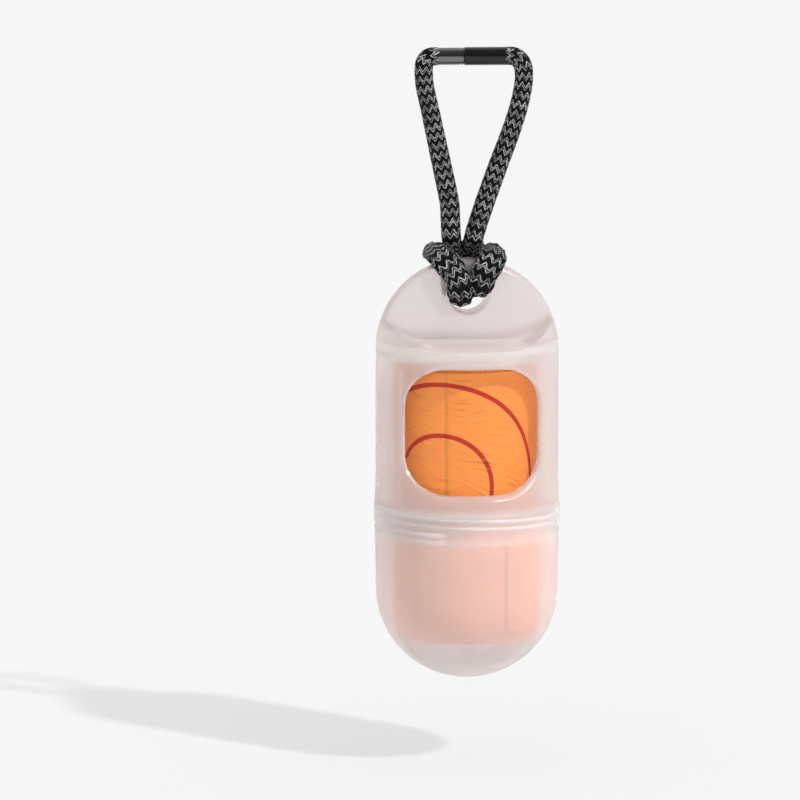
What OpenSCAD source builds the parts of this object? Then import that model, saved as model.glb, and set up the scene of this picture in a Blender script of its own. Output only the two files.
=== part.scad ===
// Pocket dispenser for rolls of dog waste bags: a frosted capsule in two halves
// that screw together, hung by a flat tab from a loop of braided cord with a
// small plug-in barrel clasp. Millimetres, +Z up, front window towards -Y.
// The origin is the point that the loop hangs from, under the clasp.

/* [Bag roll] */
// Diameter of the wound roll
roll_d = 31; // [28:0.5:34]
// Length of the roll along its core
roll_len = 60; // [54:1:66]
// Outside diameter of the card core
core_d = 14; // [11:0.5:18]
// Wall of the card core
core_wall = 0.8; // [0.5:0.1:1.5]
// Thickness of the loose first bag round the roll
loose_bag_t = 0.8; // [0.5:0.1:1.2]
// How far round the roll the loose bag reaches, in degrees
loose_bag_wrap = 330; // [240:5:345]
// How far the loose bag's upper edge stays under the roll's end
loose_bag_short = 0.6; // [0.2:0.1:2]

/* [Upper shell] */
// Wall of the upper shell
shell_wall = 2.9; // [2.2:0.1:3.4]
// Height of the parting line above the capsule's bottom
joint_h = 38.8; // [35:0.2:42]
// Height of the shallow flare above the parting line
flare_h = 6.2; // [3:0.2:9]
// How far the upper edge stays behind the cap's rim
joint_step = 0.12; // [0:0.02:0.3]
// Thickness of the roof between the roll space and the scoops
roof_t = 2; // [1:0.1:2.5]
// Rounding inside the roof's corner
roof_corner_r = 1.2; // [0.4:0.1:2.5]
// Free height over the roll
head_room = 2.2; // [0.8:0.1:3]

/* [Neck] */
// Wall of the threaded neck
neck_wall = 1.15; // [0.9:0.05:1.6]
// Length of the neck below the parting line
neck_h = 7.3; // [5:0.1:9]
// Radial room that the thread takes between neck and cap
thread_room = 0.65; // [0.4:0.05:0.9]
// Height of the plain land that centres the cap on the neck
land_h = 1.4; // [0.8:0.1:2.4]
// Bevel at the neck's lower edge
neck_bevel = 0.35; // [0.1:0.05:0.6]

/* [Hanging tab] */
// Thickness of the flat tab left between the two scoops
tab_t = 8.4; // [6:0.2:10]
// Rounding of the tab's edge
tab_edge_r = 1.2; // [0.4:0.1:1.8]
// Height of the scoops' floor above the dome's centre
scoop_rise = 1.7; // [0.4:0.1:2.4]
// Radius of the scoops' lower corners, seen from the front
scoop_corner_r = 13; // [8:0.5:16]
// Concave radius where the tab meets the scoops' floor
tab_foot_r = 1; // [0.6:0.1:3]
// Diameter of the eyelet
eye_d = 8.6; // [8.5:0.1:10]
// Depth of the eyelet's centre below the top of the tab
eye_depth = 7.4; // [7:0.1:9]
// Rounding of the eyelet's mouth
eye_lip_r = 1; // [0.4:0.1:1.6]

/* [Window] */
// Width of the window
window_w = 29; // [24:0.5:31]
// Height of the window's sill above the parting line
window_sill = 3.8; // [1.8:0.1:6]
// Wall left between the window and the roof
window_head = 2; // [1.7:0.1:4]
// Corner radius of the window
window_corner_r = 8.5; // [5:0.5:11]
// Rounding of the window's outer edge
window_lip_r = 1.3; // [0.6:0.1:1.6]

/* [Lower cap] */
// Wall of the cap's dome
cap_wall = 1.3; // [1:0.1:2]
// Wall of the cap's rim
rim_wall = 1.5; // [1.1:0.1:2]
// Height over which the cap's skirt stays straight above its dome
skirt_h = 4; // [1:0.5:8]
// Number of ribs under the roll
rib_count = 6; // [4:1:8]
// Thickness of a rib
rib_t = 0.9; // [0.6:0.1:1.5]
// Depth of a rib from the dome's inner face
rib_depth = 2.2; // [1.4:0.1:3]

/* [Cord and clasp] */
// Diameter of the braided cord
cord_d = 4; // [3.6:0.1:4.2]
// Depth of the eyelet's centre below the hanging point
eye_drop = 49.4; // [49:0.1:50]
// Diameter of the clasp's stud half
stud_half_d = 3.76; // [3.4:0.02:4]
// Length of the stud half's barrel
stud_half_len = 6.1; // [5:0.1:7]
// Diameter of the clasp's socket half
socket_half_d = 3.94; // [3.6:0.02:4.2]
// Length of the socket half
socket_half_len = 9.6; // [9:0.1:11]
// Diameter of the stud
stud_d = 2.4; // [2:0.1:2.8]
// Length of the stud in the socket
stud_len = 7; // [5:0.1:8]
// Width of the collar at the stud half's inner end
collar_w = 0.55; // [0.4:0.05:0.8]
// Width and depth of the groove behind the collar
groove = 0.2; // [0.1:0.02:0.3]
// Bevel at the clasp's edges
clasp_bevel = 0.2; // [0.1:0.05:0.4]

/* [Fits] */
// Radial clearance of a running fit
running_gap = 0.08; // [0.03:0.01:0.1]
// Gap between the roll and what it rests on
seat_gap = 0.25; // [0.15:0.05:0.4]
// Radial gap under the loose bag
loose_gap = 0.3; // [0.2:0.05:0.5]
// Radial gap between the loose bag and the shell's bore
bore_gap = 0.5; // [0.3:0.05:0.8]
// Gap at the parting line and at the stud's end
face_gap = 0.1; // [0.05:0.05:0.3]

/* [Hidden] */

fine = 96;      // sides of a full circle on the capsule
small = 48;     // sides of a full circle on a small piece
past = 1;       // how far a cutter runs past the face that it opens

// Radii from the roll outwards
roll_r = roll_d / 2;
loose_in_r = roll_r + loose_gap;
loose_out_r = loose_in_r + loose_bag_t;
bore_r = loose_out_r + bore_gap;
body_r = bore_r + shell_wall;
neck_r = bore_r + neck_wall;
cap_bore_r = neck_r + thread_room;
land_r = cap_bore_r - running_gap;
rim_r = cap_bore_r + rim_wall;
joint_r = rim_r - joint_step;
cap_in_r = body_r - cap_wall;

// Heights above the capsule's bottom
cap_dome_z = body_r;
roll_z = cap_dome_z - sqrt(pow(cap_in_r - seat_gap, 2) - pow(roll_r, 2));
loose_z = cap_dome_z - sqrt(pow(cap_in_r - seat_gap, 2) - pow(loose_out_r, 2));
loose_len = roll_z + roll_len - loose_bag_short - loose_z;
roof_z = roll_z + roll_len + head_room;
ledge_z = roof_z + roof_t;
dome_z = ledge_z - scoop_rise;
top_z = dome_z + body_r;
eye_z = top_z - eye_depth;
neck_z = joint_h - neck_h;
land_z = joint_h - land_h;
window_low = joint_h + window_sill;
window_high = roof_z - window_head;
window_mid = (window_low + window_high) / 2;
window_h = window_high - window_low;
eye_r = eye_d / 2;
cord_r = cord_d / 2;

// The capsule hangs with its eyelet under the hanging point
capsule_z = -eye_drop - eye_z;

// The clasp lies across the top of the loop
clasp_left_x = -7;
clasp_z = 2;
clasp_meet_x = clasp_left_x + stud_half_len;

// The cord turns down out of the clasp, runs to the swing line above the tab,
// goes behind the tab, forward through the eyelet, up and outward in front,
// back over the dome and across behind its own two legs.
left_leg_route = [
    [-7, 0, 2], [-7.5, 0, 2], [-8.5, 0, 1.7], [-9.2, 0, 0.9], [-9.5, 0, -0.3], [-9.5, 0, -2.4],
    [-9.2, 0, -5], [-8.3, 0, -9], [-7.4, 0, -13.2], [-6.5, 0, -17.4], [-5.6, 0, -21.6],
    [-4.7, 0, -25.8], [-4, 0, -29.4], [-3.8, 0, -31.2]
];
right_leg_route = [
    [8.7, 0, 2], [9.5, 0, 2], [10.6, 0, 1.7], [11.5, 0, 0.9], [12.1, 0, -0.3], [12.3, 0, -2.2],
    [12.1, 0, -4.8], [11.2, 0, -9], [9.9, 0, -13.2], [8.4, 0, -17.4], [6.8, 0, -21.6], [5.3, 0, -25.8],
    [4, 0, -29.4], [3.4, 0, -31.2]
];
hitch_route = [
    [-3.6, 0, -35.8], [-3.4, 1.2, -37.6], [-3.1, 3.2, -39], [-2.9, 5.4, -40.5], [-2.8, 6.7, -43],
    [-2.6, 6.8, -46.2], [-2.3, 5.8, -48.9], [-1.9, 3.4, -50.2], [-1.8, 0, -50.3], [-1.7, -3.2, -50.2],
    [-1.8, -5.2, -49.5], [-2, -6.5, -48], [-2.5, -6.8, -46.2], [-3.9, -6.6, -43.8], [-5.2, -6.1, -42],
    [-6.1, -4.6, -40.9], [-6.5, -2, -40.5], [-6.8, 1.2, -40.4], [-6.9, 4.2, -40.8], [-6.9, 7, -41.6],
    [-6, 9.3, -42.2], [-4, 10.9, -42.5], [-1, 11.3, -42.6], [2, 11.2, -42.6], [4.6, 9.9, -42.4],
    [6.1, 7.4, -41.9], [5.9, 4.5, -41], [5.5, 1.2, -40.6], [5.4, -2, -40.6], [5.2, -4.7, -41],
    [4.5, -6.2, -42.4], [3.6, -6.6, -44], [2.8, -6.5, -45.7], [2.2, -5.5, -47.3], [1.6, -3.4, -47.9],
    [1.2, 0, -47.6], [1.2, 3.2, -47.6], [1.5, 5.8, -46.5], [1.7, 6.8, -44.4], [1.7, 6.7, -42.3],
    [1.6, 5.1, -40.2], [1.5, 2.8, -38.7], [1.6, 1, -37.4], [1.9, 0, -35.8]
];

// ---------------------------------------------------------------- shared forms

function unit(v) = v / norm(v);

function route_tangent(p, i) = unit(p[min(i + 1, len(p) - 1)] - p[max(i - 1, 0)]);

// Carries a side direction along the route without letting it twist
function square_to(n, t) = unit(n - (n * t) * t);

function route_sides(p, first) = [
    for (i = 0, n = square_to(first, route_tangent(p, 0)); i < len(p);
         i = i + 1, n = i < len(p) ? square_to(n, route_tangent(p, i)) : n)
        n
];

function ring(centre, t, n, r, sides) = [
    for (k = [0 : sides - 1])
        centre + r * (cos(360 * k / sides) * n + sin(360 * k / sides) * cross(t, n))
];

// Steps along the axis and radius, as shares of the cord's radius, of a round end
round_end = [[0.97, 0.26], [0.77, 0.64], [0.38, 0.92]];

// A tube along a route. Each end is flat, or rounded past its last point.
module tube(route, r, sides, round_start = false, round_finish = false) {
    last = len(route) - 1;
    normals = route_sides(route, [0, 1, 0.2]);
    t0 = route_tangent(route, 0);
    t1 = route_tangent(route, last);
    rings = concat(
        [if (round_start) for (e = round_end) ring(route[0] - e[0] * r * t0, t0, normals[0], e[1] * r, sides)],
        [for (i = [0 : last]) ring(route[i], route_tangent(route, i), normals[i], r, sides)],
        [if (round_finish) for (e = [round_end[2], round_end[1], round_end[0]])
            ring(route[last] + e[0] * r * t1, t1, normals[last], e[1] * r, sides)]
    );
    count = len(rings);
    points = [for (loop = rings) each loop];
    walls = [
        for (i = [0 : count - 2], k = [0 : sides - 1])
            let (a = i * sides + k, b = i * sides + (k + 1) % sides)
                each [[a, a + sides, b], [b, a + sides, b + sides]]
    ];
    start = [[for (k = [0 : sides - 1]) k]];
    finish = [[for (k = [sides - 1 : -1 : 0]) (count - 1) * sides + k]];
    polyhedron(points, concat(walls, start, finish), convexity = 8);
}

// ---------------------------------------------------------------- upper shell

// Turned outline: neck, centring land, flare, wall and dome
module shell_blank() {
    rotate_extrude($fn = fine) {
        polygon([
            [0, neck_z], [neck_r - neck_bevel, neck_z], [neck_r, neck_z + neck_bevel], [neck_r, land_z],
            [land_r, land_z + thread_room / 2], [land_r, joint_h], [joint_r, joint_h],
            [body_r, joint_h + flare_h], [body_r, dome_z], [0, dome_z]
        ]);
        intersection() {
            translate([0, dome_z])
                circle(r = body_r, $fn = fine);
            translate([0, dome_z])
                square([body_r, body_r]);
        }
    }
}

// Straight bore for the roll, with a rounded corner under the roof
module roll_space() {
    rotate_extrude($fn = fine) {
        translate([0, neck_z - past])
            square([bore_r, roof_z - roof_corner_r - neck_z + past]);
        square([bore_r - roof_corner_r, roof_z]);
        translate([bore_r - roof_corner_r, roof_z - roof_corner_r])
            circle(r = roof_corner_r, $fn = small);
    }
}

// Front view of a scoop: a flat floor whose ends sweep up to the dome's outline
module scoop_outline() {
    half_w = body_r + tab_edge_r / 2;
    translate([-half_w, ledge_z + scoop_corner_r])
        square([2 * half_w, body_r]);
    translate([scoop_corner_r - half_w, ledge_z])
        square([2 * (half_w - scoop_corner_r), scoop_corner_r + past]);
    for (side = [-1, 1])
        translate([side * (half_w - scoop_corner_r), ledge_z + scoop_corner_r])
            circle(r = scoop_corner_r, $fn = fine);
}

// Half profile of the tab's disc, whose rim follows the dome
module tab_profile() {
    corner_y = tab_t / 2 - tab_edge_r;
    corner_x = sqrt(pow(body_r - tab_edge_r, 2) - pow(corner_y, 2));
    strip = corner_y * body_r / (body_r - tab_edge_r);
    translate([0, -strip])
        square([body_r + past, 2 * strip]);
    translate([0, -tab_t / 2])
        square([corner_x, tab_t]);
    for (side = [-1, 1])
        translate([corner_x, side * corner_y])
            circle(r = tab_edge_r, $fn = small);
}

// Cross-section of the concave foot that carries the tab on the floor
module foot_section() {
    difference() {
        translate([-tab_t / 2 - tab_foot_r, ledge_z - past])
            square([tab_t + 2 * tab_foot_r, tab_foot_r + past]);
        for (side = [-1, 1])
            translate([side * (tab_t / 2 + tab_foot_r), ledge_z + tab_foot_r])
                circle(r = tab_foot_r, $fn = small);
    }
}

// What the two scoops take away from the dome
module scoops() {
    reach = 2 * (body_r + past);
    difference() {
        rotate([90, 0, 0])
            linear_extrude(reach, center = true)
                scoop_outline();
        translate([0, 0, dome_z])
            rotate([90, 0, 0])
                rotate_extrude($fn = fine)
                    tab_profile();
        rotate([90, 0, 90])
            linear_extrude(reach, center = true)
                foot_section();
    }
}

// Eyelet through the tab, rounded at both mouths
module eyelet() {
    mouth_z = tab_t / 2 - eye_lip_r;
    translate([0, 0, eye_z])
        rotate([90, 0, 0])
            rotate_extrude($fn = fine) {
                translate([0, -tab_t / 2 - past])
                    square([eye_r, tab_t + 2 * past]);
                for (side = [0, 1])
                    mirror([0, side])
                        difference() {
                            translate([0, mouth_z])
                                square([eye_r + eye_lip_r, eye_lip_r + past]);
                            translate([eye_r + eye_lip_r, mouth_z])
                                circle(r = eye_lip_r, $fn = small);
                        }
            }
}

// Points round the window in front view, grown by a margin
function window_loop(margin) =
    let (
        half_w = window_w / 2 + margin,
        half_h = window_h / 2 + margin,
        c = window_corner_r + margin,
        steps = 8,
        sides = 4
    ) [
        for (q = [0 : 3])
            let (
                cx = (q == 0 || q == 3 ? 1 : -1) * (half_w - c),
                cz = (q < 2 ? 1 : -1) * (half_h - c)
            )
                each concat(
                    [for (s = [0 : steps]) [cx + c * cos(90 * (q + s / steps)), cz + c * sin(90 * (q + s / steps))]],
                    [if (q == 0 || q == 2) for (s = [1 : sides - 1]) [cx * (1 - 2 * s / sides), cz + (q == 0 ? c : -c)]]
                )
    ];

// Outer radius of the shell at a height, which grows down the flare
function wall_r(z) = body_r + (joint_r - body_r) * max(0, 1 - (z - joint_h) / flare_h);

// The same points laid on the shell's wall, at a depth under its surface
function on_wall(p, depth) =
    let (z = p[1] + window_mid, r = wall_r(z) - depth)
        [p[0], -sqrt(r * r - p[0] * p[0]), z];

// Straight through the wall, then flared by a rounded lip: pairs of margin and depth
module window_cut() {
    flare = concat(
        [[0, shell_wall + past]],
        [[0, 1.3], [0.13, 0.5], [0.5, 0.13], [1.2, -0.15], [1.2, -1.2]] * window_lip_r
    );
    loops = [for (f = flare) [for (p = window_loop(f[0])) on_wall(p, f[1])]];
    n = len(loops[0]);
    last = len(loops) - 1;
    hub_in = [0, loops[0][0][1], window_mid];
    hub_out = [0, -2 * body_r, window_mid];
    points = concat([for (l = loops) each l], [hub_in, hub_out]);
    walls = [
        for (i = [0 : last - 1], k = [0 : n - 1])
            let (a = i * n + k, b = i * n + (k + 1) % n)
                each [[a, a + n, b], [b, a + n, b + n]]
    ];
    inner = [for (k = [0 : n - 1]) [(last + 1) * n, k, (k + 1) % n]];
    outer = [for (k = [0 : n - 1]) [(last + 1) * n + 1, last * n + (k + 1) % n, last * n + k]];
    polyhedron(points, concat(walls, inner, outer), convexity = 4);
}

module upper_shell() {
    color("Gainsboro", 0.7)
        translate([0, 0, capsule_z])
            difference() {
                shell_blank();
                roll_space();
                scoops();
                eyelet();
                window_cut();
            }
}

// ---------------------------------------------------------------- lower cap

// Turned outline of the cap: dome, straight skirt and drafted rim
module cap_blank() {
    top = joint_h - face_gap;
    rotate_extrude($fn = fine) {
        intersection() {
            translate([0, cap_dome_z])
                circle(r = body_r, $fn = fine);
            square([body_r, cap_dome_z]);
        }
        polygon([
            [0, cap_dome_z], [body_r, cap_dome_z], [body_r, cap_dome_z + skirt_h],
            [rim_r, top], [0, top]
        ]);
    }
}

module cap_space() {
    rotate_extrude($fn = fine) {
        intersection() {
            translate([0, cap_dome_z])
                circle(r = cap_in_r, $fn = fine);
            square([cap_in_r, cap_dome_z]);
        }
        polygon([
            [0, cap_dome_z], [cap_in_r, cap_dome_z], [cap_bore_r, neck_z],
            [cap_bore_r, joint_h + past], [0, joint_h + past]
        ]);
    }
}

// Radial ribs that follow the dome and carry the roll's lower edge
module cap_ribs() {
    top = roll_z - seat_gap;
    intersection() {
        difference() {
            translate([0, 0, cap_dome_z])
                sphere(r = cap_in_r + cap_wall / 2, $fn = fine);
            translate([0, 0, cap_dome_z])
                sphere(r = cap_in_r - rib_depth, $fn = fine);
        }
        for (k = [0 : rib_count - 1])
            rotate([0, 0, 360 * k / rib_count - 90])
                translate([0, -rib_t / 2, 0])
                    cube([body_r, rib_t, top]);
    }
}

module lower_cap() {
    color("MistyRose", 0.7)
        translate([0, 0, capsule_z]) {
            difference() {
                cap_blank();
                cap_space();
            }
            cap_ribs();
        }
}

// ---------------------------------------------------------------- bag roll

module ring_wall(outer, inner, h) {
    difference() {
        cylinder(r = outer, h = h, $fn = fine);
        translate([0, 0, -past])
            cylinder(r = inner, h = h + 2 * past, $fn = fine);
    }
}

// Wound bags, with the bore that the card core fills
module bag_roll() {
    color("SandyBrown")
        translate([0, 0, capsule_z + roll_z])
            ring_wall(roll_r, core_d / 2 + running_gap / 2, roll_len);
}

module roll_core() {
    color("Tan")
        translate([0, 0, capsule_z + roll_z])
            ring_wall(core_d / 2, core_d / 2 - core_wall, roll_len);
}

// First bag, loose round the roll, open at the back where its end is tucked. It
// ends where the cap's dome curves in under it.
module loose_bag() {
    gap_angle = 360 - loose_bag_wrap;
    reach = 2 * loose_out_r;
    color("Orange")
        translate([0, 0, capsule_z + loose_z])
            difference() {
                ring_wall(loose_out_r, loose_in_r, loose_len);
                translate([0, 0, -past])
                    linear_extrude(loose_len + 2 * past)
                        polygon([
                            [0, 0],
                            reach * [sin(gap_angle / 2), cos(gap_angle / 2)],
                            reach * [-sin(gap_angle / 2), cos(gap_angle / 2)]
                        ]);
            }
}

// ---------------------------------------------------------------- cord and clasp

module cord_left_leg() {
    color("DimGray")
        tube(left_leg_route, cord_r, 8, round_finish = true);
}

module cord_right_leg() {
    color("DimGray")
        tube(right_leg_route, cord_r, 8, round_finish = true);
}

module cord_hitch() {
    color("DimGray")
        tube(hitch_route, cord_r, 8, round_start = true, round_finish = true);
}

// Turned barrel with a grooved collar and the stud that plugs into the socket
module clasp_stud_half() {
    r = stud_half_d / 2;
    b = clasp_bevel;
    collar_z = stud_half_len - collar_w;
    tip = stud_half_len + stud_len;
    color("DarkSlateGray")
        translate([clasp_left_x, 0, clasp_z])
            rotate([0, 90, 0])
                rotate_extrude($fn = small)
                    polygon([
                        [0, 0], [r - b, 0], [r, b], [r, collar_z - groove], [r - groove, collar_z - groove],
                        [r - groove, collar_z], [r, collar_z], [r, stud_half_len - b / 2],
                        [r - b / 2, stud_half_len], [stud_d / 2, stud_half_len],
                        [stud_d / 2, tip - 2 * b], [stud_d / 2 - 2 * b, tip], [0, tip]
                    ]);
}

// Turned barrel with a blind bore for the stud
module clasp_socket_half() {
    r = socket_half_d / 2;
    b = clasp_bevel;
    color("Black")
        translate([clasp_meet_x + face_gap, 0, clasp_z])
            rotate([0, 90, 0])
                difference() {
                    rotate_extrude($fn = small)
                        polygon([
                            [0, 0], [r - b, 0], [r, b], [r, socket_half_len - face_gap - b],
                            [r - b, socket_half_len - face_gap], [0, socket_half_len - face_gap]
                        ]);
                    translate([0, 0, -past])
                        cylinder(r = stud_d / 2 + running_gap, h = stud_len + past, $fn = small);
                }
}

upper_shell();
lower_cap();
bag_roll();
roll_core();
loose_bag();
cord_left_leg();
cord_right_leg();
cord_hitch();
clasp_stud_half();
clasp_socket_half();
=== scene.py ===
# A frosted pocket capsule for a roll of bags, hung from a braided cord loop.
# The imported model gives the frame; each section below dresses one piece of it.
import math

import bmesh
import bpy
from mathutils import Matrix, Vector, noise


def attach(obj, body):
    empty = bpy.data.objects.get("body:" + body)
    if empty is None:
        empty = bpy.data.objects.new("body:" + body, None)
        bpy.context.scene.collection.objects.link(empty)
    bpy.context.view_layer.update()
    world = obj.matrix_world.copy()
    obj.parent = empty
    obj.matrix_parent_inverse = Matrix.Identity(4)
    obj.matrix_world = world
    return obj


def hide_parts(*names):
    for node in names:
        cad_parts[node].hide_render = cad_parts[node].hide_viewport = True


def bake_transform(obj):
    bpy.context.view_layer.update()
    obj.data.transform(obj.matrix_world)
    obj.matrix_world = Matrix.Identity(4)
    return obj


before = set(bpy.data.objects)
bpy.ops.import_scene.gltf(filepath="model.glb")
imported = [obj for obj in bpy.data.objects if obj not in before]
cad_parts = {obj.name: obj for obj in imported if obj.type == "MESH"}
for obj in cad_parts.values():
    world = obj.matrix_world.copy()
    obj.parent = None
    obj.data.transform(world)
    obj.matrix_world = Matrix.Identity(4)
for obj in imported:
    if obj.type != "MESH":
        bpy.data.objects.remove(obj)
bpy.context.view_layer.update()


# ---------------------------------------------------------------- shared helpers
# Small functions for what several sections do: putting an object in the scene,
# starting a material, sums in a node tree, a tint and a bump.


def put(name, data):
    """A new object of this name in the scene, with this data."""
    item = bpy.data.objects.new(name, data)
    bpy.context.collection.objects.link(item)
    return item


def new_material(name):
    """A material with its nodes and links, and a Principled shader to start from."""
    material = bpy.data.materials.new(name)
    material.use_nodes = True
    return material, material.node_tree.nodes, material.node_tree.links


def calculator(tree):
    """A function that adds one sum to a node tree and returns its result."""

    def calculate(kind, a, b=None, c=None):
        node = tree.nodes.new("ShaderNodeMath")
        node.operation = kind
        for socket, value in zip(node.inputs, (a, b, c)):
            if isinstance(value, (int, float)):
                socket.default_value = value
            elif value is not None:
                tree.links.new(value, socket)
        return node.outputs[0]

    return calculate


def tinted(nodes, links, under, tint, share):
    """A colour multiplied by a tint, as far as the share says."""
    node = nodes.new("ShaderNodeMix")
    node.data_type = "RGBA"
    node.blend_type = "MULTIPLY"
    for socket, value in (("Factor", share), ("A", under), ("B", tint)):
        if isinstance(value, (int, float, tuple)):
            node.inputs[socket].default_value = value
        else:
            links.new(value, node.inputs[socket])
    return node.outputs["Result"]


def bumped(nodes, links, shader, height, strength, depth):
    """Lets a height pattern, in units of a depth in metres, tilt a shader's normal."""
    bump = nodes.new("ShaderNodeBump")
    bump.inputs["Strength"].default_value = strength
    bump.inputs["Distance"].default_value = depth
    links.new(height, bump.inputs["Height"])
    links.new(bump.outputs["Normal"], shader.inputs["Normal"])


# ---------------------------------------------------------------- camera
# A long lens a little above the capsule and a few degrees to its left, aimed
# left of it, because the object stands right of the picture's middle.

AIM_SIDE = -0.01465
AIM_HEIGHT = -0.0733
CAMERA_AZIMUTH = math.radians(-4.6)
CAMERA_ELEVATION = math.radians(8.0)
CAMERA_DISTANCE = 1.30
FRAME_WIDTH = 0.1749
SENSOR_WIDTH = 36

toward_camera = Vector((
    math.sin(CAMERA_AZIMUTH) * math.cos(CAMERA_ELEVATION),
    -math.cos(CAMERA_AZIMUTH) * math.cos(CAMERA_ELEVATION),
    math.sin(CAMERA_ELEVATION),
))
camera_right = Vector((math.cos(CAMERA_AZIMUTH), math.sin(CAMERA_AZIMUTH), 0))
aim = camera_right * AIM_SIDE + Vector((0, 0, AIM_HEIGHT))
camera_data = bpy.data.cameras.new("camera")
camera_data.sensor_width = SENSOR_WIDTH
camera_data.lens = SENSOR_WIDTH * CAMERA_DISTANCE / FRAME_WIDTH
camera_data.clip_start = 0.05
camera_data.clip_end = 20
camera = put("camera", camera_data)
camera.location = aim + toward_camera * CAMERA_DISTANCE
camera.rotation_euler = toward_camera.to_track_quat("Z", "Y").to_euler()
bpy.context.scene.camera = camera
bpy.context.scene.view_settings.view_transform = "Standard"


# ---------------------------------------------------------------- floor and light
# The capsule is held up over a plain pale floor. One soft key from the right
# front and above throws the long shadow to the left and back; the rest of the
# light is an even white room, whose camera side is dark in reflections.

FLOOR_HEIGHT = -0.153
FLOOR_HALF = 6.0
FLOOR_BRIGHTNESS = 0.923
FLOOR_ALBEDO = 0.774
FLOOR_SHADOW_SHARE = 0.55
ROOM_LIGHT = 0.845
DARK_SIDE = (-0.06, -0.88, 0.47)
DARK_SIDE_EDGE = (0.1, 0.8)
DARK_SIDE_LIGHT = 0.08
KEY_STRENGTH = 1.55
KEY_DIRECTION = Vector((0.49, -0.49, 0.72))
KEY_SOFTNESS = math.radians(3.0)

floor_mesh = bpy.data.meshes.new("floor")
floor_mesh.from_pydata(
    [(x * FLOOR_HALF, y * FLOOR_HALF, FLOOR_HEIGHT) for x, y in ((-1, -1), (1, -1), (1, 1), (-1, 1))],
    [], [(0, 1, 2, 3)],
)
floor = put("floor", floor_mesh)
floor_paint, nodes, links = new_material("floor_paint")
nodes.clear()
matt = nodes.new("ShaderNodeBsdfDiffuse")
matt.inputs["Color"].default_value = (FLOOR_ALBEDO, FLOOR_ALBEDO, FLOOR_ALBEDO, 1)
glow = nodes.new("ShaderNodeEmission")
glow.inputs["Color"].default_value = (FLOOR_BRIGHTNESS, FLOOR_BRIGHTNESS, FLOOR_BRIGHTNESS, 1)
mixed = nodes.new("ShaderNodeMixShader")
mixed.inputs["Fac"].default_value = FLOOR_SHADOW_SHARE
out = nodes.new("ShaderNodeOutputMaterial")
links.new(glow.outputs[0], mixed.inputs[1])
links.new(matt.outputs[0], mixed.inputs[2])
links.new(mixed.outputs[0], out.inputs["Surface"])
floor_mesh.materials.append(floor_paint)

room = bpy.data.worlds.new("room")
room.use_nodes = True
bpy.context.scene.world = room
nodes, links = room.node_tree.nodes, room.node_tree.links
nodes.clear()
rays = nodes.new("ShaderNodeLightPath")
lit = nodes.new("ShaderNodeBackground")
lit.inputs["Color"].default_value = (1, 1, 1, 1)
lit.inputs["Strength"].default_value = ROOM_LIGHT
seen = nodes.new("ShaderNodeBackground")
seen.inputs["Color"].default_value = (FLOOR_BRIGHTNESS, FLOOR_BRIGHTNESS, FLOOR_BRIGHTNESS, 1)
dim = nodes.new("ShaderNodeBackground")
dim.inputs["Strength"].default_value = ROOM_LIGHT
heading = nodes.new("ShaderNodeTexCoord")
facing = nodes.new("ShaderNodeVectorMath")
facing.operation = "DOT_PRODUCT"
facing.inputs[1].default_value = DARK_SIDE
shade = nodes.new("ShaderNodeMapRange")
shade.interpolation_type = "SMOOTHSTEP"
shade.inputs["From Min"].default_value = DARK_SIDE_EDGE[0]
shade.inputs["From Max"].default_value = DARK_SIDE_EDGE[1]
shade.inputs["To Min"].default_value = 1.0
shade.inputs["To Max"].default_value = DARK_SIDE_LIGHT
either = calculator(room.node_tree)(
    "MAXIMUM", rays.outputs["Is Camera Ray"], rays.outputs["Is Transmission Ray"])
by_eye = nodes.new("ShaderNodeMixShader")
by_gloss = nodes.new("ShaderNodeMixShader")
out = nodes.new("ShaderNodeOutputWorld")
links.new(heading.outputs["Generated"], facing.inputs[0])
links.new(facing.outputs["Value"], shade.inputs["Value"])
links.new(shade.outputs["Result"], dim.inputs["Color"])
links.new(either, by_eye.inputs["Fac"])
links.new(lit.outputs[0], by_eye.inputs[1])
links.new(seen.outputs[0], by_eye.inputs[2])
links.new(rays.outputs["Is Glossy Ray"], by_gloss.inputs["Fac"])
links.new(by_eye.outputs[0], by_gloss.inputs[1])
links.new(dim.outputs[0], by_gloss.inputs[2])
links.new(by_gloss.outputs[0], out.inputs["Surface"])

key_data = bpy.data.lights.new("key", "SUN")
key_data.energy = KEY_STRENGTH
key_data.angle = KEY_SOFTNESS
key = put("key", key_data)
key.rotation_euler = KEY_DIRECTION.to_track_quat("Z", "Y").to_euler()


# ---------------------------------------------------------------- braided cord
# One cord of sixteen braided columns: slanted strands that lean the other way in
# each next column, two in seven grey, so that the greys join into zigzags. It is
# hitched through the eyelet and pressed flatter where it is pulled over the tab.

CORD_DIAMETER = 0.004
COLUMNS = 16
YARNS_PER_ROW = 7
SECOND_GREY = 2  # in each run of yarns, number nought and this one are grey
ROW_PITCH = 0.0021
YARN_LENGTH = 0.00205
YARN_WIDTH = 0.00037
YARN_HEIGHT = 0.00040
YARN_LEAN = math.radians(31)
YARN_SEED = 7
YARN_DEPTH = 0.45  # of the yarns' middles under the cord's skin, in yarn heights
CORE_DEPTH = 0.75  # of the core's skin, likewise
ALL_ROWS = 9999

# Where its middle line lies close over the tab, the cord is pressed flat. The
# press grows over one span of distances from the tab and fades over the other.
TAB_CENTRE = (0, 0, -0.062)
TAB_RIM = 0.0188
TAB_HALF_FLAT = 0.003
PRESS_FROM = (0.0010, 0.0025)
PRESS_TO = (0.0034, 0.0042)
PRESS_WIDEN = 0.42
PRESS_THIN = 0.28
PRESS_SINK = 0.0005

# The cord fills out by this factor from its clasp down to its hitch
SWELL = 1.08
SWELL_DEPTHS = (0.004, 0.026)

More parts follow.
